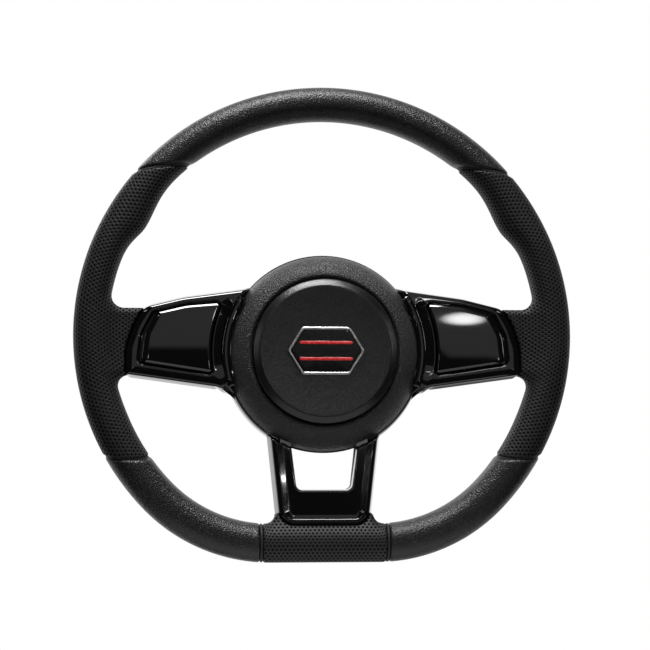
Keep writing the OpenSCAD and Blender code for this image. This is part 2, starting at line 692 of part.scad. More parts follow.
module horn_button() color([0.1, 0.1, 0.1]) {
  fall = button_r - button_flat_r;
  inner = button_r - button_wall;
  spun() polygon([[0, button_d - button_wall], [inner, button_d - button_wall - 1], [inner, plate_front_d],
    [button_r, plate_front_d], [button_r, button_d - fall],
    [button_r - 0.15 * fall, button_d - 0.62 * fall], [button_r - 0.4 * fall, button_d - 0.29 * fall],
    [button_r - 0.7 * fall, button_d - 0.08 * fall], [button_flat_r, button_d], [0, button_d]]);
}

// The badge is blank: a wide six-sided plate with rounded corners and plain stripes.
module badge_shape(inset) {
  r = 5;
  hull() {
    for (s = [-1, 1]) {
      translate([s * (badge_w / 2 - r), 0]) circle(r = r - inset, $fn = 32);
      for (t = [-1, 1])
        translate([s * (badge_w * 0.32 - r), t * (badge_h / 2 - r)]) circle(r = r - inset, $fn = 32);
    }
  }
}
module badge_frame() color("silver") difference() {
  slab(button_d, button_d + badge_rise) badge_shape(0);
  slab(button_d - 1, button_d + badge_rise + 1) badge_shape(badge_frame);
}
module badge_field() color([0.02, 0.02, 0.02]) slab(button_d, button_d + field_rise) badge_shape(badge_frame);
module badge_stripes() color([0.7, 0.05, 0.05])
  for (t = [-1, 1]) slab(button_d + field_rise, button_d + field_rise + 0.4) intersection() {
    badge_shape(badge_frame + 1.6);
    translate([-badge_w, t * badge_h * 0.17 - 1.3]) square([2 * badge_w, 2.6]);
  }

armature();
rim_rod();
grip_top();
grip_left();
grip_right();
grip_lower_left();
grip_lower_right();
grip_bottom();
seam_inserts();
spoke_trim_left();
spoke_trim_right();
spoke_trim_lower();
blank_panel_left();
blank_panel_right();
hub_cover();
rear_cover();
trim_screws();
cover_screws();
centre_nut();
horn_contact();
horn_springs();
horn_plate();
guide_pins();
contact_stud();
horn_button();
badge_field();
badge_frame();
badge_stripes();
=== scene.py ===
# Looks of a flat-bottomed sports steering wheel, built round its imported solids.
# Lengths are in mm until a mesh is made. Points are written as x to the right, d forward from the
# column seat, and z up from the hub's axis.
import math

import bmesh
import bpy
import numpy as np
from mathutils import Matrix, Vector


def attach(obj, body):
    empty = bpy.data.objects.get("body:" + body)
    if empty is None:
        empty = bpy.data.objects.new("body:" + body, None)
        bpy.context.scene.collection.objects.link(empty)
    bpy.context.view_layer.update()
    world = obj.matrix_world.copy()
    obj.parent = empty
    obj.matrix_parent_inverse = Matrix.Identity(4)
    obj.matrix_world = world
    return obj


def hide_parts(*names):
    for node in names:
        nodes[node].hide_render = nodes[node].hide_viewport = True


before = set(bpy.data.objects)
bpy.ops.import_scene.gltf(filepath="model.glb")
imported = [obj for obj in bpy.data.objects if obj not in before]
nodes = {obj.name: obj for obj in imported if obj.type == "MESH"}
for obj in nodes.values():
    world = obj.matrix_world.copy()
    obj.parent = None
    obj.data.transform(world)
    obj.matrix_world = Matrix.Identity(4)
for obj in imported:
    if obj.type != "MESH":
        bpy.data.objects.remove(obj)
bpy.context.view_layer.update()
MM = 0.001


# Camera, in metres and degrees
def place_camera():
    """The photograph's view: a little from the left and from below."""
    azimuth, elevation = math.radians(-4.66), math.radians(-3.76)
    distance, frame_width, film = 1.3, 0.4834, 36
    target = Vector((0.0007, -0.045, 0.0201))
    back = Vector((math.sin(azimuth) * math.cos(elevation),
                   -math.cos(azimuth) * math.cos(elevation), math.sin(elevation)))
    camera = bpy.data.objects.new("camera", bpy.data.cameras.new("camera"))
    camera.data.sensor_width = film
    camera.data.lens = film * distance / frame_width
    camera.location = target + back * distance
    camera.rotation_euler = (-back).to_track_quat("-Z", "Y").to_euler()
    bpy.context.scene.collection.objects.link(camera)
    bpy.context.scene.camera = camera


# Shader maths
class Value:
    """A socket whose arithmetic adds Math nodes to its sheet."""

    def __init__(self, sheet, socket):
        self.sheet, self.socket = sheet, socket

    def math(self, operation, *rest):
        """The result of an operation on this value and the rest."""
        return self.sheet.node("ShaderNodeMath", {"operation": operation}, dict(enumerate((self, *rest))))

    def other(self, out):
        """Another output of the same node."""
        return Value(self.sheet, self.socket.node.outputs[out])

    def __add__(self, other):
        return self.math("ADD", other)

    def __sub__(self, other):
        return self.math("SUBTRACT", other)

    def __rsub__(self, other):
        return self.sheet.node("ShaderNodeMath", {"operation": "SUBTRACT"}, {0: other, 1: self})

    def __mul__(self, other):
        return self.math("MULTIPLY", other)

    def __truediv__(self, other):
        return self.math("DIVIDE", other)

    __radd__, __rmul__ = __add__, __mul__

    def between(self, low, high, start=0.0, end=1.0):
        """Start below low, end above high, and an eased run between them."""
        settings = {"interpolation_type": "SMOOTHSTEP"}
        return self.sheet.node("ShaderNodeMapRange", settings, {0: self, 1: low, 2: high, 3: start, 4: end})


class Tree:
    """A node tree that new nodes are added to."""

    def __init__(self, tree):
        self.tree = tree
        self.tree.nodes.clear()

    def node(self, kind, settings=None, inputs=None, out=0):
        """Adds a node, sets it and its sockets, and gives one output, or the input of an end node."""
        made = self.tree.nodes.new(kind)
        for key, value in (settings or {}).items():
            setattr(made, key, value)
        for key, value in (inputs or {}).items():
            self.join(made.inputs[key], value)
        return Value(self, made.outputs[out]) if made.outputs else made.inputs[0]

    def join(self, socket, value):
        """Links a value to a socket, or sets a plain number or colour on it."""
        if isinstance(value, Value):
            self.tree.links.new(value.socket, socket)
        else:
            socket.default_value = value


class Sheet(Tree):
    """The nodes of one finish, round one Principled shader."""

    def __init__(self, name, **constants):
        self.material = bpy.data.materials.new(name)
        self.material.use_nodes = True
        super().__init__(self.material.node_tree)
        self.shader = self.principled(constants)
        self.end = self.node("ShaderNodeOutputMaterial", None, {0: self.shader})

    def principled(self, constants):
        """A Principled shader with its constants."""
        spaced = {key.replace("_", " "): value for key, value in constants.items()}
        return self.node("ShaderNodeBsdfPrincipled", None, spaced)

    def feed(self, **sockets):
        """Joins what varies to the shader and gives the finished material."""
        for key, value in sockets.items():
            self.join(self.shader.socket.node.inputs[key.replace("_", " ")], value)
        return self.material

    def paint_hole_shade(self, share, **constants):
        """Shows a second, plain shader where share is 1, used for the painted shade in punched holes."""
        plain = self.principled(constants)
        self.join(self.end, self.node("ShaderNodeMixShader", None, {0: share, 1: self.shader, 2: plain}))

    def place(self, stretch=(1, 1, 1)):
        """Where a point lies on the object, in mm, each axis times its stretch."""
        here = self.node("ShaderNodeTexCoord", out="Object")
        factor = tuple(s / MM for s in stretch)
        return self.node("ShaderNodeVectorMath", {"operation": "MULTIPLY"}, {0: here, 1: factor})

    def noise(self, where, size, detail=2.0, rough=0.5):
        """Soft random values from 0 to 1 whose blotches are about size mm wide."""
        return self.node("ShaderNodeTexNoise", None,
                         {"Vector": where, "Scale": 1 / size, "Detail": detail, "Roughness": rough})

    def pebbles(self, where, size):
        """Rounded cells about size mm wide: 0 on the creases between them and more towards their middles."""
        return self.node("ShaderNodeTexVoronoi", {"feature": "DISTANCE_TO_EDGE"},
                         {"Vector": where, "Scale": 1 / size})

    def shifted(self, where, size, amount):
        """The place where, pushed about by a noise of that size."""
        push = self.node("ShaderNodeTexNoise", None,
                         {"Vector": where, "Scale": 1 / size, "Detail": 1.0}, out="Color")
        centred = self.node("ShaderNodeVectorMath", {"operation": "SUBTRACT"}, {0: push, 1: (0.5, 0.5, 0.5)})
        grown = self.node("ShaderNodeVectorMath", {"operation": "SCALE"}, {0: centred, "Scale": amount})
        return self.node("ShaderNodeVectorMath", {"operation": "ADD"}, {0: where, 1: grown})

    def blend(self, factor, first, second):
        """A colour that goes from first to second as factor goes from 0 to 1."""
        return self.node("ShaderNodeMix", {"data_type": "RGBA"},
                         {0: factor, 6: shade(first), 7: shade(second)}, out=2)

    def relief(self, height, depth):
        """Normals of a surface that stands up by height times depth mm."""
        return self.node("ShaderNodeBump", None, {"Height": height, "Distance": depth * MM})


def shade(colour):
    """A colour as a socket takes it."""
    return colour if isinstance(colour, Value) else (*colour, 1.0)


def grey(level, warm=0.0):
    """A near-neutral colour of that linear brightness."""
    return (level * (1 + warm), level, level * (1 - warm))


# Finishes
def hide_grain(sheet, size):
    """Pebbles and creases of leather, as height, with the creases at 0."""
    where = sheet.place()
    large = sheet.pebbles(sheet.shifted(where, 2.4 * size, 1.1 * size), size).between(0.0, 0.42)
    small = sheet.pebbles(sheet.shifted(where, size, 0.5 * size), 0.42 * size).between(0.0, 0.3)
    pores = sheet.noise(where, 0.22 * size, 3.0, 0.6)
    return large * 0.7 + small * 0.22 + pores * 0.08


def smooth_leather():
    """Smooth hide with a coarse grain, polished in patches where hands have held it."""
    sheet = Sheet("smooth grained leather", IOR=1.5)
    grain = hide_grain(sheet, 1.9)
    broad = sheet.noise(sheet.place(), 38, 3.0)
    handled = sheet.noise(sheet.place((1, 1.6, 1)), 15, 4.0, 0.62)
    colour = sheet.blend(grain.between(0.15, 0.8), grey(0.0016), grey(0.005, 0.02))
    colour = sheet.blend(handled.between(0.35, 0.8) * 0.5, colour, grey(0.008, 0.03))
    rough = 0.24 + broad * 0.07 - handled.between(0.45, 0.75) * 0.05 + (1 - grain) * 0.12
    return sheet.feed(Base_Color=colour, Roughness=rough, Normal=sheet.relief(grain + broad * 0.4, 0.22))


HOLE_GAP, ROW_GAP = 3.1, 2.7  # between holes in a row, and between rows
HOLE_R, LIP_R = 1.02, 1.35  # of a punched hole, and of the leather drawn in round it


def perforated_leather():
    """Leather with staggered punched holes, laid out by the mesh's own map in mm, each hole a painted
    near-black spot standing in for its shade.
    """
    sheet = Sheet("perforated leather", IOR=1.43)
    grain = hide_grain(sheet, 0.9)
    along = sheet.node("ShaderNodeSeparateXYZ", None, {0: sheet.node("ShaderNodeUVMap", {"uv_map": "hide"})})
    row = along.other(1) / ROW_GAP
    spot = along / HOLE_GAP + row.math("FLOOR").math("FLOORED_MODULO", 2.0) * 0.5
    aside = (spot.math("FRACT") - 0.5) * HOLE_GAP
    above = (row.math("FRACT") - 0.5) * ROW_GAP
    reach = (aside * aside + above * above).math("SQRT")
    hole_and_shade = reach.between(0.6, HOLE_R, 1.0, 0.0)
    lip = reach.between(0.7, LIP_R, 1.0, 0.0)
    broad = sheet.noise(sheet.place(), 30, 3.0)
    colour = sheet.blend(grain.between(0.1, 0.9), grey(0.004), grey(0.009, 0.02))
    colour = sheet.blend(broad.between(0.4, 0.75) * 0.4, colour, grey(0.014, 0.03))
    height = grain * 0.2 - hole_and_shade * 0.5 - lip * 0.25
    # painted shade: each hole is a flat, near-black spot that barely reflects, standing in for the dark down
    # the hole
    sheet.paint_hole_shade(hole_and_shade, Base_Color=shade(grey(0.0006)), Roughness=0.9, Specular_IOR_Level=0.05)
    return sheet.feed(Base_Color=colour, Roughness=0.49 + broad * 0.08, Normal=sheet.relief(height, 0.3))


def seam_edge():
    """The dark pressed edge of the leather in the seams."""
    sheet = Sheet("pressed seam", IOR=1.48)
    where = sheet.place()
    fibre = sheet.noise(where, 0.5, 4.0, 0.6)
    wear = sheet.noise(where, 7, 2.0)
    colour = sheet.blend(fibre.between(0.3, 0.8), grey(0.002), grey(0.006))
    colour = sheet.blend(wear.between(0.5, 0.8) * 0.5, colour, grey(0.01))
    return sheet.feed(Base_Color=colour, Roughness=0.5 + fibre * 0.2, Normal=sheet.relief(fibre, 0.12))


def piano_black():
    """Deep gloss lacquer with orange peel, dust and hairlines."""
    sheet = Sheet("gloss black lacquer", IOR=1.45, Specular_IOR_Level=0.25, Coat_IOR=1.5, Coat_Roughness=0.03)
    where = sheet.place()
    peel = sheet.noise(where, 5.5, 1.0)
    dust = sheet.noise(where, 0.35, 2.0, 0.7).between(0.76, 0.84)
    hair = sheet.noise(sheet.place((0.08, 1, 1.9)), 0.5, 2.0).between(0.66, 0.8)
    hair_up = sheet.noise(sheet.place((1.7, 1, 0.07)), 0.5, 2.0).between(0.68, 0.82)
    marks = (hair + hair_up).math("MINIMUM", 1.0)
    colour = sheet.blend(dust * 0.5, grey(0.0012), grey(0.02, 0.04))
    colour = sheet.blend(marks * 0.25, colour, grey(0.004))
    rough = 0.07 + marks * 0.05 + dust * 0.25
    return sheet.feed(Base_Color=colour, Roughness=rough, Coat_Weight=1 - dust * 0.35,
                      Normal=sheet.relief(peel, 0.012))


def grained_plastic(name, dark, light, size, depth, rough, **more):
    """Matte moulded skin with a fine leather-like grain, size mm wide and depth mm deep."""
    sheet = Sheet(name, IOR=1.47, **more)
    where = sheet.place()
    pebble = sheet.pebbles(sheet.shifted(where, 2 * size, size), size).between(0.0, 0.3)
    fine = sheet.noise(where, 0.35 * size, 3.0, 0.65)
    broad = sheet.noise(where, 26, 3.0)
    height = pebble * 0.5 + fine * 0.7
    colour = sheet.blend(height.between(0.3, 1.0), grey(dark), grey(light))
    colour = sheet.blend(broad.between(0.35, 0.8) * 0.35, colour, grey(1.5 * light, 0.02))
    shine = rough + broad * 0.08 + (1 - pebble) * 0.1
    return sheet.feed(Base_Color=colour, Roughness=shine, Normal=sheet.relief(height, depth))


def cast_metal():
    """The armature's rough casting."""
    sheet = Sheet("cast light alloy", IOR=1.5)
    where = sheet.place()
    skin_noise = sheet.noise(where, 0.9, 5.0, 0.62)
    stain = sheet.noise(where, 14, 3.0)
    colour = sheet.blend(stain, grey(0.32), grey(0.48, 0.02))
    colour = sheet.blend(skin_noise.between(0.2, 0.5, 1.0, 0.0) * 0.5, colour, grey(0.2))
    return sheet.feed(Base_Color=colour, Metallic=0.92 - stain * 0.1, Roughness=0.42 + skin_noise * 0.28,
                      Normal=sheet.relief(skin_noise, 0.12))


def turned_metal(name, low, high, warm, rough):
    """Machined metal with fine turning lines, from low to high brightness."""
    sheet = Sheet(name, IOR=1.5)
    lines = sheet.noise(sheet.place((1, 14, 1)), 1.2, 3.0)
    spots = sheet.noise(sheet.place(), 2.2, 4.0, 0.6)
    colour = sheet.blend(lines * 0.6 + spots * 0.4, grey(low, warm), grey(high, warm))
    return sheet.feed(Base_Color=colour, Metallic=1 - spots.between(0.6, 0.8) * 0.2,
                      Roughness=rough + lines * 0.16 + spots * 0.1, Normal=sheet.relief(lines, 0.02))


def enamel(name, deep, bright, coat, **more):
    """The badge's glassy paint, clouded a little and with a few specks."""
    sheet = Sheet(name, IOR=1.5, Coat_IOR=1.5, Coat_Roughness=0.04, **more)
    where = sheet.place()
    cloud = sheet.noise(where, 4.0, 3.0)
    speck = sheet.noise(where, 0.3, 2.0, 0.7).between(0.74, 0.84)
    return sheet.feed(Base_Color=sheet.blend(cloud, deep, bright), Roughness=0.22 + cloud * 0.1 + speck * 0.2,
                      Coat_Weight=coat - speck * 0.3 * coat, Normal=sheet.relief(cloud, 0.01))


def satin_chrome():
    """The badge frame's brushed bright metal."""
    sheet = Sheet("satin bright metal", IOR=1.5)
    brushed = sheet.noise(sheet.place((0.3, 3, 6)), 0.5, 3.0)
    wear = sheet.noise(sheet.place(), 3.0, 3.0)
    colour = sheet.blend(brushed, grey(0.52), grey(0.72))
    colour = sheet.blend(wear.between(0.55, 0.85) * 0.4, colour, grey(0.4, 0.03))
    return sheet.feed(Base_Color=colour, Metallic=1 - wear.between(0.7, 0.9) * 0.15,
                      Roughness=0.2 + brushed * 0.14, Normal=sheet.relief(brushed, 0.01))


def studio_floor():
    """Pale paper that the wheel hangs over."""
    sheet = Sheet("pale studio floor", IOR=1.4, Specular_IOR_Level=0.1)
    paper = sheet.noise(sheet.place(), 60, 3.0)
    return sheet.feed(Base_Color=sheet.blend(paper, grey(0.9), grey(0.93)), Roughness=0.8 + paper * 0.05)


# Meshes
def mesh_piece(name, points, faces, finish, map_mm=None):
    """An object from points (x, d, z) in mm and faces, with its finish and smooth shading."""
    placed = np.column_stack([points[:, 0], -points[:, 1], points[:, 2]]) * MM
    mesh = bpy.data.meshes.new(name)
    mesh.from_pydata(placed.tolist(), [], faces if isinstance(faces, list) else faces.tolist())
    mesh.materials.append(finish)
    mesh.shade_smooth()
    if map_mm is not None:
        mesh.uv_layers.new(name="hide").data.foreach_set("uv", map_mm.astype(np.float32).ravel())
    made = bpy.data.objects.new(name, mesh)
    bpy.context.scene.collection.objects.link(made)
    return made


def fit(made, body, replaced):
    """Fixes a piece to its body and stands it in for its solid."""
    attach(made, body)
    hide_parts(replaced)


def outward(made):
    """Turns all the faces of a piece outwards."""
    work = bmesh.new()
    work.from_mesh(made.data)
    bmesh.ops.recalc_face_normals(work, faces=work.faces)
    work.to_mesh(made.data)
    work.free()
    return made


def dress(name, shape, finish, body, replaced):
    """A piece of that shape, its faces turned outwards, in place of a solid."""
    fit(outward(mesh_piece(name, *shape, finish)), body, replaced)


def strip_faces(rows, count, closed):
    """Quads between rows of count points each, one row after the other."""
    i = np.arange(count if closed else count - 1)
    base = (np.arange(rows - 1) * count)[:, None]
    after = (i + 1) % count
    quads = np.stack([base + i, base + after, base + count + after, base + count + i], -1)
    return quads.reshape(-1, 4).tolist()


def loft(rings, filled=True):
    """Points and faces over closed rings of equal length, with the last one filled in if wanted."""
    count = len(rings[0])
    points, faces = np.vstack(rings), strip_faces(len(rings), count, True)
    if filled:
        start, middle = len(points) - count, len(points)
        points = np.vstack([points, rings[-1].mean(0)])
        faces += [(start + i, start + (i + 1) % count, middle) for i in range(count)]
    return points, faces


def ribbon(rows):
    """Points and faces between open rows of equal length."""
    return np.vstack(rows), strip_faces(len(rows), len(rows[0]), False)


def gather(*parts):
    """Several (points, faces) pairs as one."""
    points, faces, base = [], [], 0
    for more, sides in parts:
        points.append(more)
        faces += [[base + int(i) for i in side] for side in sides]
        base += len(more)
    return np.vstack(points), faces


def mirrored(points, faces):
    """The same piece on the other side."""
    return points * np.array([-1, 1, 1]), [[int(i) for i in side][::-1] for side in faces]


def smooth_line(points, per_span=4):
    """A curve through the points, eased at each, with per_span steps between two of them."""
    p = np.asarray(points, float)
    p = np.vstack([2 * p[0] - p[1], p, 2 * p[-1] - p[-2]])
    line = []
    for a, b, c, d in zip(p, p[1:], p[2:], p[3:]):
        lengths = [max(np.linalg.norm(y - x), 1e-6) ** 0.5 for x, y in ((a, b), (b, c), (c, d))]
        t0, t1, t2, t3 = np.cumsum([0] + lengths)
        for t in np.linspace(t1, t2, per_span, endpoint=False):
            ab = a + (b - a) * (t - t0) / (t1 - t0)
            bc = b + (c - b) * (t - t1) / (t2 - t1)
            cd = c + (d - c) * (t - t2) / (t3 - t2)
            left = ab + (bc - ab) * (t - t0) / (t2 - t0)
            right = bc + (cd - bc) * (t - t1) / (t3 - t1)
            line.append(left + (right - left) * (t - t1) / (t2 - t1))
    return np.array(line + [p[-2]])


def lathe(profile, angles):
    """A row of points round the hub's axis at these angles for each radius and depth of the profile."""
    x, z = np.cos(angles), np.sin(angles)
    return [np.column_stack([r * x, np.full(len(angles), d), r * z]) for r, d in profile]


# Flat outlines
ARC_STEP = 0.45


class Outline:
    """A closed outline of rounded corners, drawn in or out with the same number of points.

    A corner is (x, z, radius, moves), and the edge after it shifts by moves for each mm of inset."""

    def __init__(self, corners):
        self.at = np.array([c[:2] for c in corners], float)
        area = np.sum(self.at[:, 0] * np.roll(self.at[:, 1], -1) - np.roll(self.at[:, 0], -1) * self.at[:, 1])
        if area < 0:
            corners = list(reversed(corners))
            moves = [c[3] for c in corners]
            corners = [(*c[:3], m) for c, m in zip(corners, moves[1:] + moves[:1])]
            self.at = np.array([c[:2] for c in corners], float)
        self.radius = np.array([c[2] for c in corners], float)
        self.moves = np.array([c[3] for c in corners], float)
        along = np.roll(self.at, -1, 0) - self.at
        self.along = along / np.linalg.norm(along, axis=1)[:, None]
        self.inward = np.column_stack([-self.along[:, 1], self.along[:, 0]])

    def corners(self, inset):
        """The sharp corners once every edge has moved in by its share of the inset."""
        n1, n2 = np.roll(self.inward, 1, 0), self.inward
        a, b = np.roll(self.moves, 1) * inset, self.moves * inset
        c = np.sum(n1 * n2, 1)
        loose = np.maximum(1 - c * c, 1e-9)
        shift = (n1 * (a - c * b)[:, None] + n2 * (b - c * a)[:, None]) / loose[:, None]
        straight = (1 - c * c) < 1e-3
        shift[straight] = (n1 * ((a + b) / 2)[:, None])[straight]
        return self.at + shift

    def points(self, inset=0.0):
        """The outline's points, with its corners rounded."""
        at, line = self.corners(inset), []
        for i in range(len(at)):
            back, on = -self.along[i - 1], self.along[i]
            turn = math.acos(float(np.clip(-np.dot(back, on), -1, 1)))
            bends_in = np.dot(self.inward[i - 1], on) < 0
            if self.radius[i] > 0 and turn > 0.01:
                steps = max(3, int(turn * self.radius[i] / ARC_STEP))
                r = max(self.radius[i] + (inset if bends_in else -inset), 0.3)
                start = at[i] + back * r * math.tan(turn / 2)
                centre = start + self.inward[i - 1] * (-r if bends_in else r)
                first = math.atan2(*(start - centre)[::-1])
                sweep = -turn if bends_in else turn
                for a in first + sweep * np.arange(steps + 1) / steps:
                    line.append(centre + r * np.array([math.cos(a), math.sin(a)]))
            else:
                line.append(at[i])
        return np.array(line)


def star(points, centre, angles):
    """Where rays from centre at these angles cross a closed outline."""
    a = points - centre
    b = np.roll(a, -1, 0)
    ray = np.column_stack([np.cos(angles), np.sin(angles)])
    ra = ray[:, :1] * a[:, 1] - ray[:, 1:] * a[:, 0]
    rb = ray[:, :1] * b[:, 1] - ray[:, 1:] * b[:, 0]
    share = ra / np.where(np.abs(ra - rb) < 1e-12, 1e-12, ra - rb)
    reach = ray[:, :1] * (a[:, 0] + share * (b - a)[:, 0]) + ray[:, 1:] * (a[:, 1] + share * (b - a)[:, 1])
    crosses = (ra <= 0) & (rb > 0) & (reach > 0)
    return centre + ray * np.where(crosses, reach, 0).max(1)[:, None]


def shared_angles(centre, *outlines):
    """Directions from centre to all the outlines' points, in order, neither too close nor too far apart."""
    closest, widest = 0.0025, 0.03
    every = np.sort(np.concatenate([np.arctan2(*(o - centre).T[::-1]) for o in outlines]))
    kept = [every[0]]
    for a in every[1:]:
        if a - kept[-1] > closest:
            kept.append(a)
    filled = []
    for a, b in zip(kept, kept[1:] + [kept[0] + 2 * math.pi]):
        parts = max(1, int((b - a) / widest))
        filled += list(a + (b - a) * np.arange(parts) / parts)
    return np.array(filled)


def level(ring, depth):
    """A flat ring of x, z points at a depth."""
    return np.column_stack([ring[:, 0], np.broadcast_to(depth, len(ring)), ring[:, 1]])


def star_rings(outline, centre, angles, steps):
    """Level rings of an outline at each inset and depth of the steps, with a point at every angle."""
    return [level(star(outline.points(inset), centre, angles), depth) for inset, depth in steps]


# The rim's own sizes
RIM_R = 185.0  # outer radius of the round part
RISE = 13.0  # height of the round part's centre over the hub's axis
FLAT_DROP = 155.2  # from the hub's axis down to the flat
FLAT = RISE + FLAT_DROP  # from the round part's centre down to the flat
BLEND_R = 130.0  # outer radius of the arcs that lead into the flat
BLEND_Z = FLAT - BLEND_R
BLEND_X = math.sqrt((RIM_R - BLEND_R) ** 2 - BLEND_Z ** 2)
BLEND_F = math.atan(BLEND_X / BLEND_Z)  # where an arc meets the round part, from straight down
TOP_W, FLAT_W = 25.2, 28.5  # width of the tube round the top and at the flat
TUBE_T, RIM_D = 31.0, 45.0  # thickness of the tube, and depth of its middle
ROUNDING = 0.9  # 1 for an elliptic section, and squarer for less
SQUARE = 2 / ROUNDING
SEAM_W, BAND_W = 1.4, 2.4  # of a sunk seam, and of a band at the flat
UPPER_F, LOWER_F = math.radians(40.3), math.radians(29)
UPPER = (RIM_R * math.cos(UPPER_F), RISE + RIM_R * math.sin(UPPER_F))
TILT = math.radians(7.5)  # lean of the upper seams
LOWER_Z = RISE - RIM_R * math.sin(LOWER_F)
FLAT_X = 46.6  # from the middle of the flat to a band


def ease(t):
    """0 below 0, 1 above 1, and an eased run between them."""
    t = np.clip(t, 0, 1)
    return t * t * (3 - 2 * t)


def arc_reach(f, r):
    """Distance from the rim's centre to a blend arc of radius r at angle f."""
    m = BLEND_X * np.sin(f) + BLEND_Z * np.cos(f)
    return m + np.sqrt(np.maximum(m * m - BLEND_X ** 2 - BLEND_Z ** 2 + r * r, 0))


def rim_line(f, drop):
    """Distance from the rim's centre to its outer edge drawn in by drop, at angle f from straight down."""
    flat = (FLAT - drop) / np.maximum(np.cos(f), 0.3)
    round_part = np.where(f < BLEND_F, arc_reach(f, BLEND_R - drop), RIM_R - drop)
    return np.where(f < math.atan(BLEND_X / (FLAT - drop)), flat, round_part)


def thumb(f):
    """How far the thumb rest stands inwards at angle f, tapering more slowly upwards than downwards."""
    middle, height, upwards, downwards = 121, 5.6, 8.5, 5.5
    past = np.degrees(f) - middle
    return height * np.exp(-(past / np.where(past > 0, upwards, downwards)) ** 2)


def rim_span(f):
    """Inner and outer edge of the tube at f, as distances from the rim's centre."""
    wide = rim_line(f, FLAT_W) + (FLAT_W - TOP_W) * ease((np.degrees(f) - 66) / 36)
    inner = np.where(f > math.radians(130), RIM_R - TOP_W, wide) - thumb(f)
    return inner, rim_line(f, 0)


def tube_gap(x, d, z):
    """Roughly how far a point lies outside the tube, less than 0 inside."""
    f, u = np.arctan2(np.abs(x), RISE - z), np.hypot(x, z - RISE)
    inner, outer = rim_span(f)
    a, b = (outer - inner) / 2, TUBE_T / 2
    across, through = np.abs(u - (inner + outer) / 2) / a, np.abs(d - RIM_D) / b
    s = across ** SQUARE + through ** SQUARE + 1e-9
    slope = s ** (1 / SQUARE - 1) * np.hypot(across ** (SQUARE - 1) / a, through ** (SQUARE - 1) / b)
    return (s ** (1 / SQUARE) - 1) / np.maximum(slope, 1e-3)


def rim_point(f, t, inset):
    """A point of the tube's section at f, at angle t round it, drawn in by inset."""
    inner, outer = rim_span(f)
    reach = (outer - inner) / 2 - inset
    u = (inner + outer) / 2 + reach * np.sign(np.cos(t)) * np.abs(np.cos(t)) ** ROUNDING
    v = (TUBE_T / 2 - inset) * np.sign(np.sin(t)) * np.abs(np.sin(t)) ** ROUNDING
    return np.column_stack([np.sin(f) * u, RIM_D + v, RISE - np.cos(f) * u])


# Solids as distances, and the skins over them
def joined(a, b, r):
    """Two solids' distances as one solid with a fillet of radius r between them."""
    return np.maximum(r, np.minimum(a, b)) - np.hypot(np.maximum(r - a, 0), np.maximum(r - b, 0))


def cut_back(a, b, r):
    """What two solids share, with an edge rounded to radius r."""
    return np.minimum(-r, np.maximum(a, b)) + np.hypot(np.maximum(r + a, 0), np.maximum(r + b, 0))


def span_gap(v, low, high):
    """How far a coordinate lies outside a span, less than 0 inside."""
    return np.abs(v - (low + high) / 2) - (high - low) / 2


def block_gap(x, d, z, x_span, z_span, middle, half, r):
    """Distance from a block with all its edges rounded to r."""
    gaps = [span_gap(x, *x_span) + r, span_gap(z, *z_span) + r, np.abs(d - middle) - half + r]
    inside = np.minimum(np.maximum(np.maximum(gaps[0], gaps[1]), gaps[2]), 0)
    outside = np.sqrt(sum(np.maximum(g, 0) ** 2 for g in gaps))
    return inside + outside - r


def outline_gap(x, z, points):
    """Distance from a closed outline, less than 0 inside it."""
    best, inside = np.full(np.broadcast(x, z).shape, 1e9), np.zeros(np.broadcast(x, z).shape, bool)
    for (ax, az), (bx, bz) in zip(points, np.roll(points, -1, 0)):
        ex, ez = bx - ax, bz - az
        t = np.clip(((x - ax) * ex + (z - az) * ez) / max(ex * ex + ez * ez, 1e-9), 0, 1)
        best = np.minimum(best, (x - ax - t * ex) ** 2 + (z - az - t * ez) ** 2)
        crosses = (az > z) != (bz > z)
        inside ^= crosses & (x < ex * (z - az) / (ez if abs(ez) > 1e-9 else 1e-9) + ax)
    return np.where(inside, -1, 1) * np.sqrt(best)


def skin(field, low, high, step):
    """Points and outward quads of the surface where field is 0."""
    axes = [np.arange(a, b + step, step) for a, b in zip(low, high)]
    v = np.broadcast_to(field(*np.ix_(*axes)), [len(a) for a in axes])
    inside = v < 0
    ends = [slice(0, -1), slice(1, None)]
    filled = sum(inside[i, j, k].astype(int) for i in ends for j in ends for k in ends)
    mixed = (filled > 0) & (filled < 8)
    number = np.full(mixed.shape, -1)
    number[mixed] = np.arange(mixed.sum())
    at = np.argwhere(mixed)
    # each cell's point is the mean of the crossings on its edges
    total, hits = np.zeros((len(at), 3)), np.zeros(len(at))
    for axis in range(3):
        u, w = [k for k in range(3) if k != axis]
        for du, dw in ((0, 0), (0, 1), (1, 0), (1, 1)):
            start = at.copy()
            start[:, u] += du
            start[:, w] += dw
            stop = start.copy()
            stop[:, axis] += 1
            a, b = v[tuple(start.T)], v[tuple(stop.T)]
            crosses = (a < 0) != (b < 0)
            where = start.astype(float)
            where[:, axis] += np.where(crosses, a / np.where(a == b, 1, a - b), 0)
            total += where * crosses[:, None]
            hits += crosses
    points = np.array(low) + step * total / hits[:, None]
    # each grid edge that crosses the surface has a quad round it, through its four cells
    faces = []
    for axis in range(3):
        u, w = (axis + 1) % 3, (axis + 2) % 3
        first, second = [slice(None)] * 3, [slice(None)] * 3
        first[axis], second[axis] = ends
        spots = np.argwhere(inside[tuple(first)] != inside[tuple(second)])
        spots = spots[(spots[:, u] > 0) & (spots[:, w] > 0)]
        out = inside[tuple(first)][tuple(spots.T)]
        ring = []
        for du, dw in ((1, 1), (0, 1), (0, 0), (1, 0)):
            cell = spots.copy()
            cell[:, u] -= du
            cell[:, w] -= dw
            ring.append(number[tuple(cell.T)])
        ring = np.stack(ring, 1)
        ring[~out] = ring[~out][:, ::-1]
        faces.append(ring)
    # the d axis points against Blender's y, so the quads are turned over
    return points, np.vstack(faces)[:, ::-1]


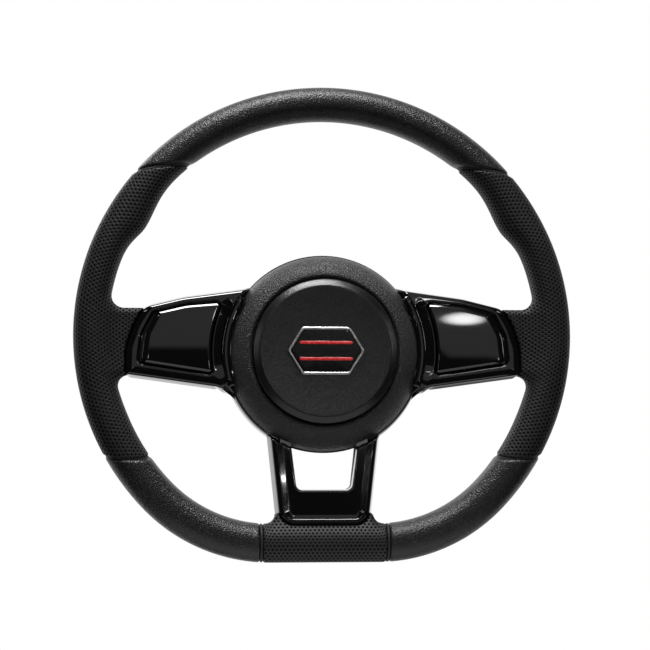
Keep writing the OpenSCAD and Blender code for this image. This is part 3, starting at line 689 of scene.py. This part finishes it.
def settled(field, points):
    """The points moved on to the surface where field is 0."""
    rounds, by, furthest = 3, 0.05, 0.6
    p = points.copy()
    for _ in range(rounds):
        here = field(*p.T)
        slope = np.column_stack([(field(*(p + e).T) - field(*(p - e).T)) / (2 * by) for e in np.eye(3) * by])
        step = slope * (here / np.maximum(np.sum(slope * slope, 1), 0.05))[:, None]
        p -= np.clip(step, -furthest, furthest)
    return p


# Outlines of the trims
ROOT_R = 63.0  # where the trims end under the hub cover
SPLIT_D = 36.0  # depth of the trims' back edge


def round_hub(angles):
    """Sharp corners along a trim's hidden end, at these degrees from the right."""
    return [(ROOT_R * math.cos(math.radians(a)), ROOT_R * math.sin(math.radians(a)), 0, 0) for a in angles]


def side_outline(top, end, low):
    """Outline of the right spoke's trim, with how far its three free sides move for each mm of inset."""
    return Outline(
        [(62.0, -39.0, 0, low), (68.6, -34.0, 4, low), (72.4, -29.0, 5, low), (79.0, -26.0, 8, low),
         (147.4, -16.6, 3.2, end), (147.0, 3.0, 30, end), (141.4, 20.0, 40, end), (134.0, 32.3, 13, top),
         (104.0, 39.6, 60, top), (57.0, 46.0, 0, top), (42.0, 48.2, 0, 0)] + round_hub(range(44, -33, -4)))


def panel_outline():
    """Outline of the right blank panel, whose first corners follow an arc beside the hub."""
    reach, angles = 84.2, (-11, -6, -1, 4, 9, 14, 20, 25.5)
    beside = []
    for a in angles:
        rounding, moves = 2.4 if a in (angles[0], angles[-1]) else 0, 1.0 if a == angles[-1] else 0.6
        beside.append((reach * math.cos(math.radians(a)), reach * math.sin(math.radians(a)), rounding, moves))
    return Outline(beside + [(102.0, 33.9, 60, 1.0), (124.3, 28.4, 5, 1.5), (133.0, 11.5, 16, 1.7),
                             (135.2, -8.0, 3.2, 1.0)])


SIDE_TRIM = side_outline(0.62, 1.25, 1.0)
SIDE_WALL = side_outline(0.7, 0.0, 0.75)
LOW_TRIM = Outline([(-32.7, -128.0, 11.5, 1), (32.7, -128.0, 11.5, 1), (41.5, -47.6, 0, 0)]
                   + round_hub(range(-52, -129, -4)) + [(-41.5, -47.6, 0, 1)])
PANEL = panel_outline()
PANEL_MID = np.array([104.0, 8.0])
WINDOW = Outline([(-24.6, -69.0, 1.0, 1), (-20.35, -102.0, 4.5, 1), (20.35, -102.0, 4.5, 1),
                  (24.6, -69.0, 1.0, 1)])
WINDOW_MID = np.array([0.0, -88.0])


# Leather grips
TRIM_GAP = 0.15  # between a trim and the leather round it
SIDE_EDGE, LOW_EDGE = SIDE_TRIM.points(-TRIM_GAP), LOW_TRIM.points(-TRIM_GAP)
WEB_D, WEB_T = 40.2, 10.6  # middle and half thickness of the spokes' roots
GRID = 0.85  # between the points of the leather's skin


def above_upper(x, d, z):
    """Height over the upper seam's middle."""
    return (np.abs(x) - UPPER[0]) * math.sin(TILT) + (z - UPPER[1]) * math.cos(TILT)


def above_lower(x, d, z):
    """Height over the lower seam's middle, which sags towards the front."""
    return z - LOWER_Z + 0.16 * (d - RIM_D)


def past_band(x, d, z):
    """Distance to the right of the middle of the band at the flat."""
    return x - FLAT_X


def with_root(x, d, z, x_span, z_span, edge, fillet):
    """The tube joined to a spoke's root, with nothing left behind the tube's back."""
    root = block_gap(x, d, z, x_span, z_span, WEB_D, WEB_T, edge)
    return cut_back(joined(tube_gap(x, d, z), root, fillet), RIM_D - TUBE_T / 2 - d, 0.5)


def top_leather(x, d, z):
    """The tube above the upper seams."""
    return cut_back(tube_gap(x, d, z), SEAM_W / 2 - above_upper(x, d, z), 2.6)


def low_leather(x, d, z):
    """The tube between the lower right seam and the right band."""
    body = cut_back(tube_gap(x, d, z), above_lower(x, d, z) + SEAM_W / 2, 2.2)
    return cut_back(body, BAND_W / 2 - past_band(x, d, z), 1.8)


def side_leather(x, d, z):
    """The tube between the two right seams, with the root of the right spoke round its trim."""
    body = with_root(x, d, z, (116, 172), (-17.4, 32.0), 4.5, 11.0)
    body = cut_back(body, above_upper(x, d, z) + SEAM_W / 2, 1.6)
    body = cut_back(body, SEAM_W / 2 - above_lower(x, d, z), 1.6)
    return cut_back(body, -outline_gap(x, z, SIDE_EDGE), 0.9)


def bottom_leather(x, d, z):
    """The tube between the bands, with the root of the lower spoke round its trim."""
    body = with_root(x, d, z, (-36.2, 36.2), (-146, -118.4), 3.2, 8.0)
    body = cut_back(body, past_band(np.abs(x), d, z) + BAND_W / 2, 1.8)
    return cut_back(body, -outline_gap(x, z, LOW_EDGE), 0.9)


def side_run(f, x, z):
    """Length along a side grip's hide, and how far it follows the spoke's root (1) or the tube (0)."""
    crown_r, stretch = 171, 1.02
    root = ease((z + 31) / 14) * ease((44 - z) / 12)
    return crown_r * (f - math.pi / 2) * (1 - root) + (z - RISE) * stretch * root, root


def bottom_run(f, x, z):
    """The same of the bottom grip's hide."""
    crown_r = 163
    root = ease((48 - np.abs(x)) / 10)
    return crown_r * f * (1 - root) + x * root, root


def hide_map(points, faces, run):
    """Where each face corner lies on the hide, in mm: along the rim, and across it from the front crown."""
    x, d, z = points.T
    f, u = np.arctan2(x, RISE - z), np.hypot(x, z - RISE)
    inner, outer = rim_span(np.abs(f))
    usual_w, slope = 13.6, 1.22  # half the tube's usual width, and mm of hide for each mm over a root
    half_w, half_t = (outer - inner) / 2, TUBE_T / 2
    inward, forward = (inner + outer) / 2 - u, d - RIM_D
    girth = 2 * math.pi * math.sqrt((usual_w ** 2 + half_t ** 2) / 2)
    across = girth * np.arctan2(inward / half_w, forward / half_t) / (2 * math.pi)
    along, root = run(f, x, z)
    over_root = slope * inward + np.where(forward < 0, girth / 2, 0)
    across = np.where(inward > 0, across * (1 - root) + over_root * root, across)
    s, t = along[faces], across[faces]
    t += girth * np.round((t[:, :1] - t) / girth)
    return np.stack([s, t], -1)


def leather_skin(field, low, high):
    """Points and faces of the surface where field is 0, between two corners of a box."""
    points, faces = skin(field, low, high, GRID)
    return settled(field, points), faces


def build_grips(leather, holes):
    """The top, lower, side and bottom grips, each left one mirrored from the right."""
    top = leather_skin(top_leather, (-143, 28, 120), (143, 62, 200))
    fit(mesh_piece("top_leather", *top, leather), "wheel", "grip_top")
    low = leather_skin(low_leather, (45, 28, -158), (168, 62, -72))
    for side, shape in (("right", low), ("left", mirrored(*low))):
        made = mesh_piece(f"low_{side}_leather", *shape, leather)
        fit(made, "wheel", f"grip_lower_{side}")
    beside = leather_skin(side_leather, (96, 27, -82), (187, 62, 140))
    spread = hide_map(*beside, side_run)
    for side, shape, laid in (("right", beside, spread), ("left", mirrored(*beside), spread[:, ::-1])):
        made = mesh_piece(f"{side}_perforated_leather", *shape, holes, laid)
        fit(made, "wheel", f"grip_{side}")
    bottom = leather_skin(bottom_leather, (-48, 27, -158), (48, 62, -115))
    made = mesh_piece("bottom_perforated_leather", *bottom, holes, hide_map(*bottom, bottom_run))
    fit(made, "wheel", "grip_bottom")


def seam_loop(height, span, offset, inset):
    """The ring round the tube where height(x, d, z) is offset, found between two angles."""
    t = np.radians(np.arange(0, 360, 3.0))
    low, high = np.full(len(t), math.radians(span[0])), np.full(len(t), math.radians(span[1]))
    rising = height(*rim_point(high, t, inset).T) > offset
    for _ in range(30):
        middle = (low + high) / 2
        down = (height(*rim_point(middle, t, inset).T) > offset) == rising
        high, low = np.where(down, middle, high), np.where(down, low, middle)
    return rim_point((low + high) / 2, t, inset)


SEAMS = (  # height, degrees it lies between, half width, how deep its crown is, how much deeper its sides
    (above_upper, (112, 150), 1.6, 1.1, 1.0),
    (above_lower, (45, 78), 1.5, 1.0, 1.0),
    (past_band, (9, 26), 1.5, 0.15, 2.2))


def build_seams(edge):
    """Four sunk seams and two thin raised bands, each with a rounded crown."""
    parts = []
    for height, span, half, crown, dip in SEAMS:
        shares = np.linspace(-1, 1, 13)
        rows = [seam_loop(height, span, share * half, crown + dip * abs(share) ** 3) for share in shares]
        part = loft(rows, filled=False)
        parts += [part, mirrored(*part)]
    dress("seams", gather(*parts), edge, "wheel", "seam_inserts")


# Gloss spoke trims
def lowered(depth, share, floor):
    """Depths brought down by a share of what they stand above a floor."""
    return depth - share * np.clip(depth - floor, 0, None)


def tucked(ring):
    """A side trim's ring, lowered under the hub cover and kept within the cover's edge below the spoke."""
    angle, reach = np.degrees(np.arctan2(ring[:, 2], ring[:, 0])), np.hypot(ring[:, 0], ring[:, 2])
    under_cover = ease((71.5 + 3 * ease((angle - 30) / 5) - reach) / 1.5)
    below_spoke = ease((-19 - angle) / 3) * ease((84 - reach) / 2)
    depth = lowered(lowered(ring[:, 1], under_cover, 40), below_spoke, 38)
    limit = np.where(angle < -19, 72.8 + 10 * ease((angle + 28) / 9), 1e3)
    return level(ring[:, ::2] * np.minimum(limit / reach, 1)[:, None], depth)


def beside_hub(ring, wanted, drop):
    """A face ring, drawn in to a wanted distance from the hub's axis on that side and dropping back there."""
    angle, reach = np.degrees(np.arctan2(ring[:, 1], ring[:, 0])), np.hypot(*ring.T)
    drawn = ease((84.4 - reach) / 0.8)
    fade = ease((angle + 12) / 7) * ease((27 - angle) / 7)
    return level(ring * (1 - drawn * (1 - wanted / reach))[:, None], 49.96 - drawn * fade * drop)


def trim_rings():
    """Rings over a side trim: its drafted wall, sloping band and face, then the pocket for its panel."""
    wall = [(-2.6, SPLIT_D), (-0.25, 46.6)]
    band = [(0.0, 47.3), (0.35, 48.1), (0.9, 48.7), (1.7, 49.15), (2.8, 49.55), (3.9, 49.85), (4.6, 49.95)]
    face = [(-3.1, 72.0, 0.0), (-3.0, 75.6, 2.0), (-2.9, 76.1, 1.85), (-2.8, 81.9, 0.2)]
    pocket = [(-2.4, 49.98), (-1.9, 49.8), (-1.6, 49.35), (-1.45, 48.7), (-1.2, 48.4), (1.0, 48.3)]
    angles = shared_angles(PANEL_MID, SIDE_WALL.points(-2.6), SIDE_TRIM.points(0), SIDE_TRIM.points(4.6),
                           PANEL.points(-2.4), PANEL.points(0))
    rings = star_rings(SIDE_WALL, PANEL_MID, angles, wall) + star_rings(SIDE_TRIM, PANEL_MID, angles, band)
    rings += [beside_hub(star(PANEL.points(i), PANEL_MID, angles), reach, drop) for i, reach, drop in face]
    rings += star_rings(PANEL, PANEL_MID, angles, pocket)
    return [tucked(ring) for ring in rings]


def panel_rings():
    """Rings over a blank panel: a wall, a bevel with two soft edges, and a face bowed like a barrel."""
    steps = [(0, 48.3), (0, 49.3), (0.12, 49.8), (0.4, 50.15), (0.8, 50.4), (1.7, 50.9), (2.1, 51.1),
             (2.5, 51.22)]
    shares = (0.985, 0.95, 0.9, 0.82, 0.74, 0.66, 0.58, 0.5, 0.42, 0.34, 0.26, 0.18, 0.1, 0.04)
    angles = shared_angles(PANEL_MID, PANEL.points(0), PANEL.points(2.5))
    rings = star_rings(PANEL, PANEL_MID, angles, steps)
    edge = star(PANEL.points(2.5), PANEL_MID, angles)
    rings += [level(PANEL_MID + (edge - PANEL_MID) * share, 51.25) for share in shares]
    for ring in rings[1:]:
        up, out = (ring[:, 2] - 8) / 24, (ring[:, 0] - 107) / 28
        ring[:, 1] += 1.3 * (1 - up ** 2) + 0.4 * (1 - out ** 2)
    return rings


def ridge():
    """The rounded rail across a side trim beside the hub, fading out at both ends."""
    reach, half, base, height, steps, faded = 72.95, 2.95, 49.7, 1.5, 90, 5
    turns = np.linspace(0, math.pi, 15)
    section = [(70.0, 46.0)] + [(reach - half * math.cos(a), base + height * math.sin(a)) for a in turns]
    rows = lathe(section, np.radians(np.linspace(-20.5, 34.0, steps)))
    from_end = np.minimum(np.arange(steps), np.arange(steps)[::-1])
    for row in rows:
        row[:, 1] = base + (row[:, 1] - base) * np.minimum(1, from_end / faded) ** 0.5
    return ribbon(rows)


def base_wall():
    """The gloss wall that shows round the lower half of the hub cover, between the spokes."""
    profile = [(72.4, 40.6), (73.3, 41.2), (73.8, 40.6), (74.9, 36.0), (75.9, 31.0), (75.2, 29.8),
               (72.0, 29.5)]
    return ribbon(lathe(profile, np.radians(np.linspace(-62, -24, 60))))


def build_side_trims(gloss):
    """The trim and the blank panel of each side spoke."""
    for side in ("right", "left"):
        trim, panel = gather(loft(trim_rings()), ridge(), base_wall()), loft(panel_rings())
        if side == "left":
            trim, panel = mirrored(*trim), mirrored(*panel)
        dress(f"{side}_gloss_trim", trim, gloss, "wheel", f"spoke_trim_{side}")
        dress(f"{side}_gloss_panel", panel, gloss, "wheel", f"blank_panel_{side}")


def build_low_trim(gloss):
    """The lower spoke's trim: its wall, a raised border, the face inside it, and the window through it."""
    face_d = 49.1
    wall = [(-2.3, SPLIT_D), (-0.2, 46.4)]
    border = [(0.1, 47.4), (0.5, 48.3), (1.2, 49.1), (2.0, 49.6), (2.9, 49.9), (3.9, 50.0), (4.3, 49.93),
              (4.6, 49.84), (4.7, 49.82), (7.6, 49.2), (7.7, 49.18), (8.0, 49.13), (8.4, face_d),
              (9.2, face_d), (9.6, face_d)]
    window = [(-1.9, face_d), (-1.3, face_d), (-0.8, 49.03), (-0.4, 48.85), (-0.1, 48.4), (0, 47.8),
              (0, 30.0)]
    angles = shared_angles(WINDOW_MID, LOW_TRIM.points(0), LOW_TRIM.points(9.6), WINDOW.points(-1.9),
                           WINDOW.points(0))
    # the border's inner slope is wide beside the window and short along the bar
    along_bar = ease((42 - np.abs(np.degrees(angles) + 90)) / 8)
    outer = [(i, d - along_bar * (d - face_d) * ease((i - 4.2) / 1.0)) for i, d in wall + border]
    rings = star_rings(LOW_TRIM, WINDOW_MID, angles, outer) + star_rings(WINDOW, WINDOW_MID, angles, window)
    points, faces = loft(rings, filled=False)
    # the legs and the bar between them pass under the hub cover's skirt
    under_cover = ease((74.8 - np.hypot(points[:, 0], points[:, 2])) / 1.5)
    points[:, 1] = lowered(points[:, 1], under_cover, 37)
    dress("low_gloss_trim", (points, faces), gloss, "wheel", "spoke_trim_lower")


# Hub
ALL_ROUND = np.radians(np.linspace(0, 360, 300, endpoint=False))
COVER = [(54.2, 44.5), (54.2, 54.4), (54.5, 55.5), (55.2, 56.5), (56.2, 57.0), (57.8, 56.8), (60.0, 55.8),
         (62.4, 54.2), (64.8, 52.3), (67.0, 50.1), (69.0, 47.6), (70.8, 44.6), (72.1, 41.2), (72.8, 37.8),
         (73.0, 34.0)]
BUTTON = [(53.4, 46.6), (53.4, 58.6), (53.3, 59.6), (53.0, 60.2), (52.4, 60.75), (51.2, 61.6), (49.9, 62.5),
          (49.2, 62.95), (48.6, 63.3), (48.0, 63.55), (47.3, 63.55)]
DISH_R, DISH_D, DISH = 47.3, 61.9, 1.65  # the button's face: radius, depth of its middle, rise to its edge


def build_hub(cover, disc):
    """The domed cover, whose skirt hangs a little low, and the dished horn button in its opening."""
    points, faces = loft(lathe(smooth_line(COVER), ALL_ROUND), filled=False)
    points[:, 2] -= np.clip((np.hypot(points[:, 0], points[:, 2]) - 66) / 7, 0, 1)
    dress("hub_cover_skin", (points, faces), cover, "wheel", "hub_cover")
    face = [(r, DISH_D + DISH * (r / DISH_R) ** 2) for r in (46, 42, 36, 28, 20, 12, 5, 1)]
    button = loft(lathe(np.vstack([smooth_line(BUTTON), face]), ALL_ROUND))
    dress("horn_button_skin", button, disc, "horn", "horn_button")


# Blank badge
BADGE_D = 64.0  # depth that the badge's heights count from


def flat_rings(outline, steps):
    """Level rings of a small outline at each inset, at heights over the badge's own depth."""
    return [level(outline.points(inset), BADGE_D + height) for inset, height in steps]


def build_badge(metal, field, stripe):
    """A six-sided plate with a bright frame and two plain stripes."""
    w, h, r = 28.5, 17.5, 4.2
    shoulder = 0.62 * w
    line = Outline([(w, 0, r, 1), (shoulder, h, r, 1), (-shoulder, h, r, 1), (-w, 0, r, 1),
                    (-shoulder, -h, r, 1), (shoulder, -h, r, 1)])
    rim_steps = [(0, -2.2), (0, 0.9), (0.1, 1.3), (0.35, 1.6), (0.8, 1.78), (1.2, 1.8), (1.6, 1.7),
                 (1.85, 1.4), (1.95, 1.0), (2.0, 0.3)]
    rim = loft(flat_rings(line, rim_steps), filled=False)
    dress("badge_rim", rim, metal, "horn", "badge_frame")
    inset, height, dome = 2.3, 1.02, 0.28
    rings = flat_rings(line, [(1.9, 0.2), (1.95, 0.95), (inset, height)])
    for share in (0.9, 0.75, 0.55, 0.35, 0.15):
        rings.append(level(line.points(inset) * share, BADGE_D + height + dome * (1 - share ** 2)))
    dress("badge_plate", loft(rings), field, "horn", "badge_field")
    reach, half = 19.5, 1.1
    bars = []
    for z in (5.95, -5.95):
        bar = Outline([(reach, z - half, 1.0, 1), (reach, z + half, 1.0, 1), (-reach, z + half, 1.0, 1),
                       (-reach, z - half, 1.0, 1)])
        bars.append(loft(flat_rings(bar, [(0, 1.0), (0, 1.32), (0.12, 1.45), (0.35, 1.52), (0.7, 1.54)])))
    dress("badge_bars", gather(*bars), stripe, "horn", "badge_stripes")


# Carried-over solids
def dress_solids(finishes):
    """Puts each finish on the solid of its name."""
    for name, finish in finishes.items():
        solid = nodes[name]
        for place in solid.material_slots:
            place.material = finish
        if not solid.material_slots:
            solid.data.materials.append(finish)


# Studio
SOFTBOXES = (  # name, place, aim and size in metres, and power in watts
    ("overhead", (-0.08, -0.38, 1.05), (0, -0.04, 0.05), (0.72, 0.26), 18),
    ("left side", (-1.25, -0.5, 0.28), (0, -0.04, 0), (0.08, 0.5), 0.9),
    ("right side", (1.3, -0.55, 0.33), (0, -0.04, 0), (0.08, 0.5), 1.4),
    ("high left", (-0.8, -1.05, 0.75), (0, -0.04, 0), (0.2, 0.12), 0.5),
    ("high right", (0.85, -1.05, 0.7), (0, -0.04, 0), (0.2, 0.12), 0.5),
    ("table", (0, -0.12, -0.22), (0, -0.1, 0), (0.42, 0.18), 0.18),
    ("left glint", (0.41, -1.0, -0.072), (-0.044, -0.05, -0.116), (0.10, 0.008), 0.1),
    ("low glint", (0.41, -1.0, -0.112), (-0.041, -0.05, -0.138), (0.05, 0.003), 0.02),
    ("right glint", (-0.244, -1.0, -0.066), (0.0405, -0.05, -0.113), (0.006, 0.05), 0.03),
    ("back fill", (-0.9, 1.3, 0.9), (0, 0, 0), (0.8, 0.8), 5))


def softbox(name, place, aim, size, power):
    """A rectangular soft light at place, turned to aim."""
    light = bpy.data.lights.new(name, "AREA")
    light.shape = "RECTANGLE"
    light.size, light.size_y = size
    light.energy = power
    lamp = bpy.data.objects.new(name, light)
    lamp.location = place
    lamp.rotation_euler = (Vector(aim) - Vector(place)).to_track_quat("-Z", "Y").to_euler()
    lamp.visible_camera = False
    bpy.context.scene.collection.objects.link(lamp)


def light_room(room):
    """White paper behind the wheel, a grey wall in front of it, and one soft lamp high on the right.

    The camera itself sees plain white. A direction's x, y and z point right, away from the camera, and up."""
    dim, wall_light, lamp_light = 0.03, 0.33, 17.0
    x = room.node("ShaderNodeSeparateXYZ", None, {0: room.node("ShaderNodeTexCoord", out="Generated")})
    y, z = x.other(1), x.other(2)
    ahead = y.between(-0.3, 0.0, 1.0, 0.0)
    darker_right = x.between(0.05, 0.2) * z.between(-0.3, -0.1, 1.0, 0.0) * y.between(0.8, 0.92) * 0.9
    paper = y.between(0.1, 0.6) * z.between(-0.85, -0.45) * (1 - darker_right)
    top_edge = (z + 0.06 * x.between(0.098, 0.125)).between(-0.02, 0.03)
    wall = top_edge * x.between(-0.24, -0.16) * x.between(0.26, 0.38, 1.0, 0.0) * ahead
    side, up = (x - 0.153) / 0.046, (z - 0.215) / 0.045
    lamp = (side * side + up * up).between(0.0, 1.35, 1.0, 0.0) * ahead
    glow = dim + paper + wall * wall_light + lamp * lamp_light
    seen = room.node("ShaderNodeLightPath", out="Is Camera Ray")
    strength = room.node("ShaderNodeMix", None, {0: seen, 2: glow, 3: 1.0})
    light = room.node("ShaderNodeBackground", None, {"Color": (1, 1, 1, 1), "Strength": strength})
    room.node("ShaderNodeOutputWorld", None, {0: light})


def build_studio():
    """The view's colours, a pale floor well below the wheel, the room's light and the soft lights."""
    view = bpy.context.scene.view_settings
    view.view_transform = "Standard"
    view.look = "None"
    side, low = 4.0, -0.75
    mesh = bpy.data.meshes.new("floor")
    mesh.from_pydata([(-side, -side, low), (side, -side, low), (side, side, low), (-side, side, low)],
                     [], [(0, 1, 2, 3)])
    mesh.materials.append(studio_floor())
    floor = bpy.data.objects.new("floor", mesh)
    bpy.context.scene.collection.objects.link(floor)
    floor.visible_glossy = False
    world = bpy.data.worlds.new("studio")
    bpy.context.scene.world = world
    world.use_nodes = True
    light_room(Tree(world.node_tree))
    for box in SOFTBOXES:
        softbox(*box)


# The whole wheel
place_camera()
build_studio()
build_grips(smooth_leather(), perforated_leather())
build_seams(seam_edge())
lacquer = piano_black()
build_side_trims(lacquer)
build_low_trim(lacquer)
build_hub(grained_plastic("hub cover skin", 0.007, 0.014, 2.1, 0.45, 0.31, Sheen_Weight=0.06),
          grained_plastic("horn button skin", 0.003, 0.006, 0.7, 0.03, 0.2))
build_badge(satin_chrome(), enamel("black enamel", grey(0.002), grey(0.004), 0.25, Specular_IOR_Level=0.1),
            enamel("red enamel", (0.42, 0.004, 0.006), (0.6, 0.008, 0.01), 0.9))
steel = turned_metal("turned steel", 0.3, 0.5, 0.0, 0.24)
brass = turned_metal("contact brass", 0.42, 0.6, 0.35, 0.28)
dress_solids({
    "armature": cast_metal(), "rim_rod": steel,
    "rear_cover": grained_plastic("back cover skin", 0.010, 0.018, 0.9, 0.09, 0.5),
    "trim_screws": steel, "cover_screws": steel,
    "centre_nut": turned_metal("plated steel", 0.4, 0.55, 0.05, 0.3),
    "horn_contact": brass, "contact_stud": brass, "horn_springs": steel, "horn_plate": steel,
    "guide_pins": steel})
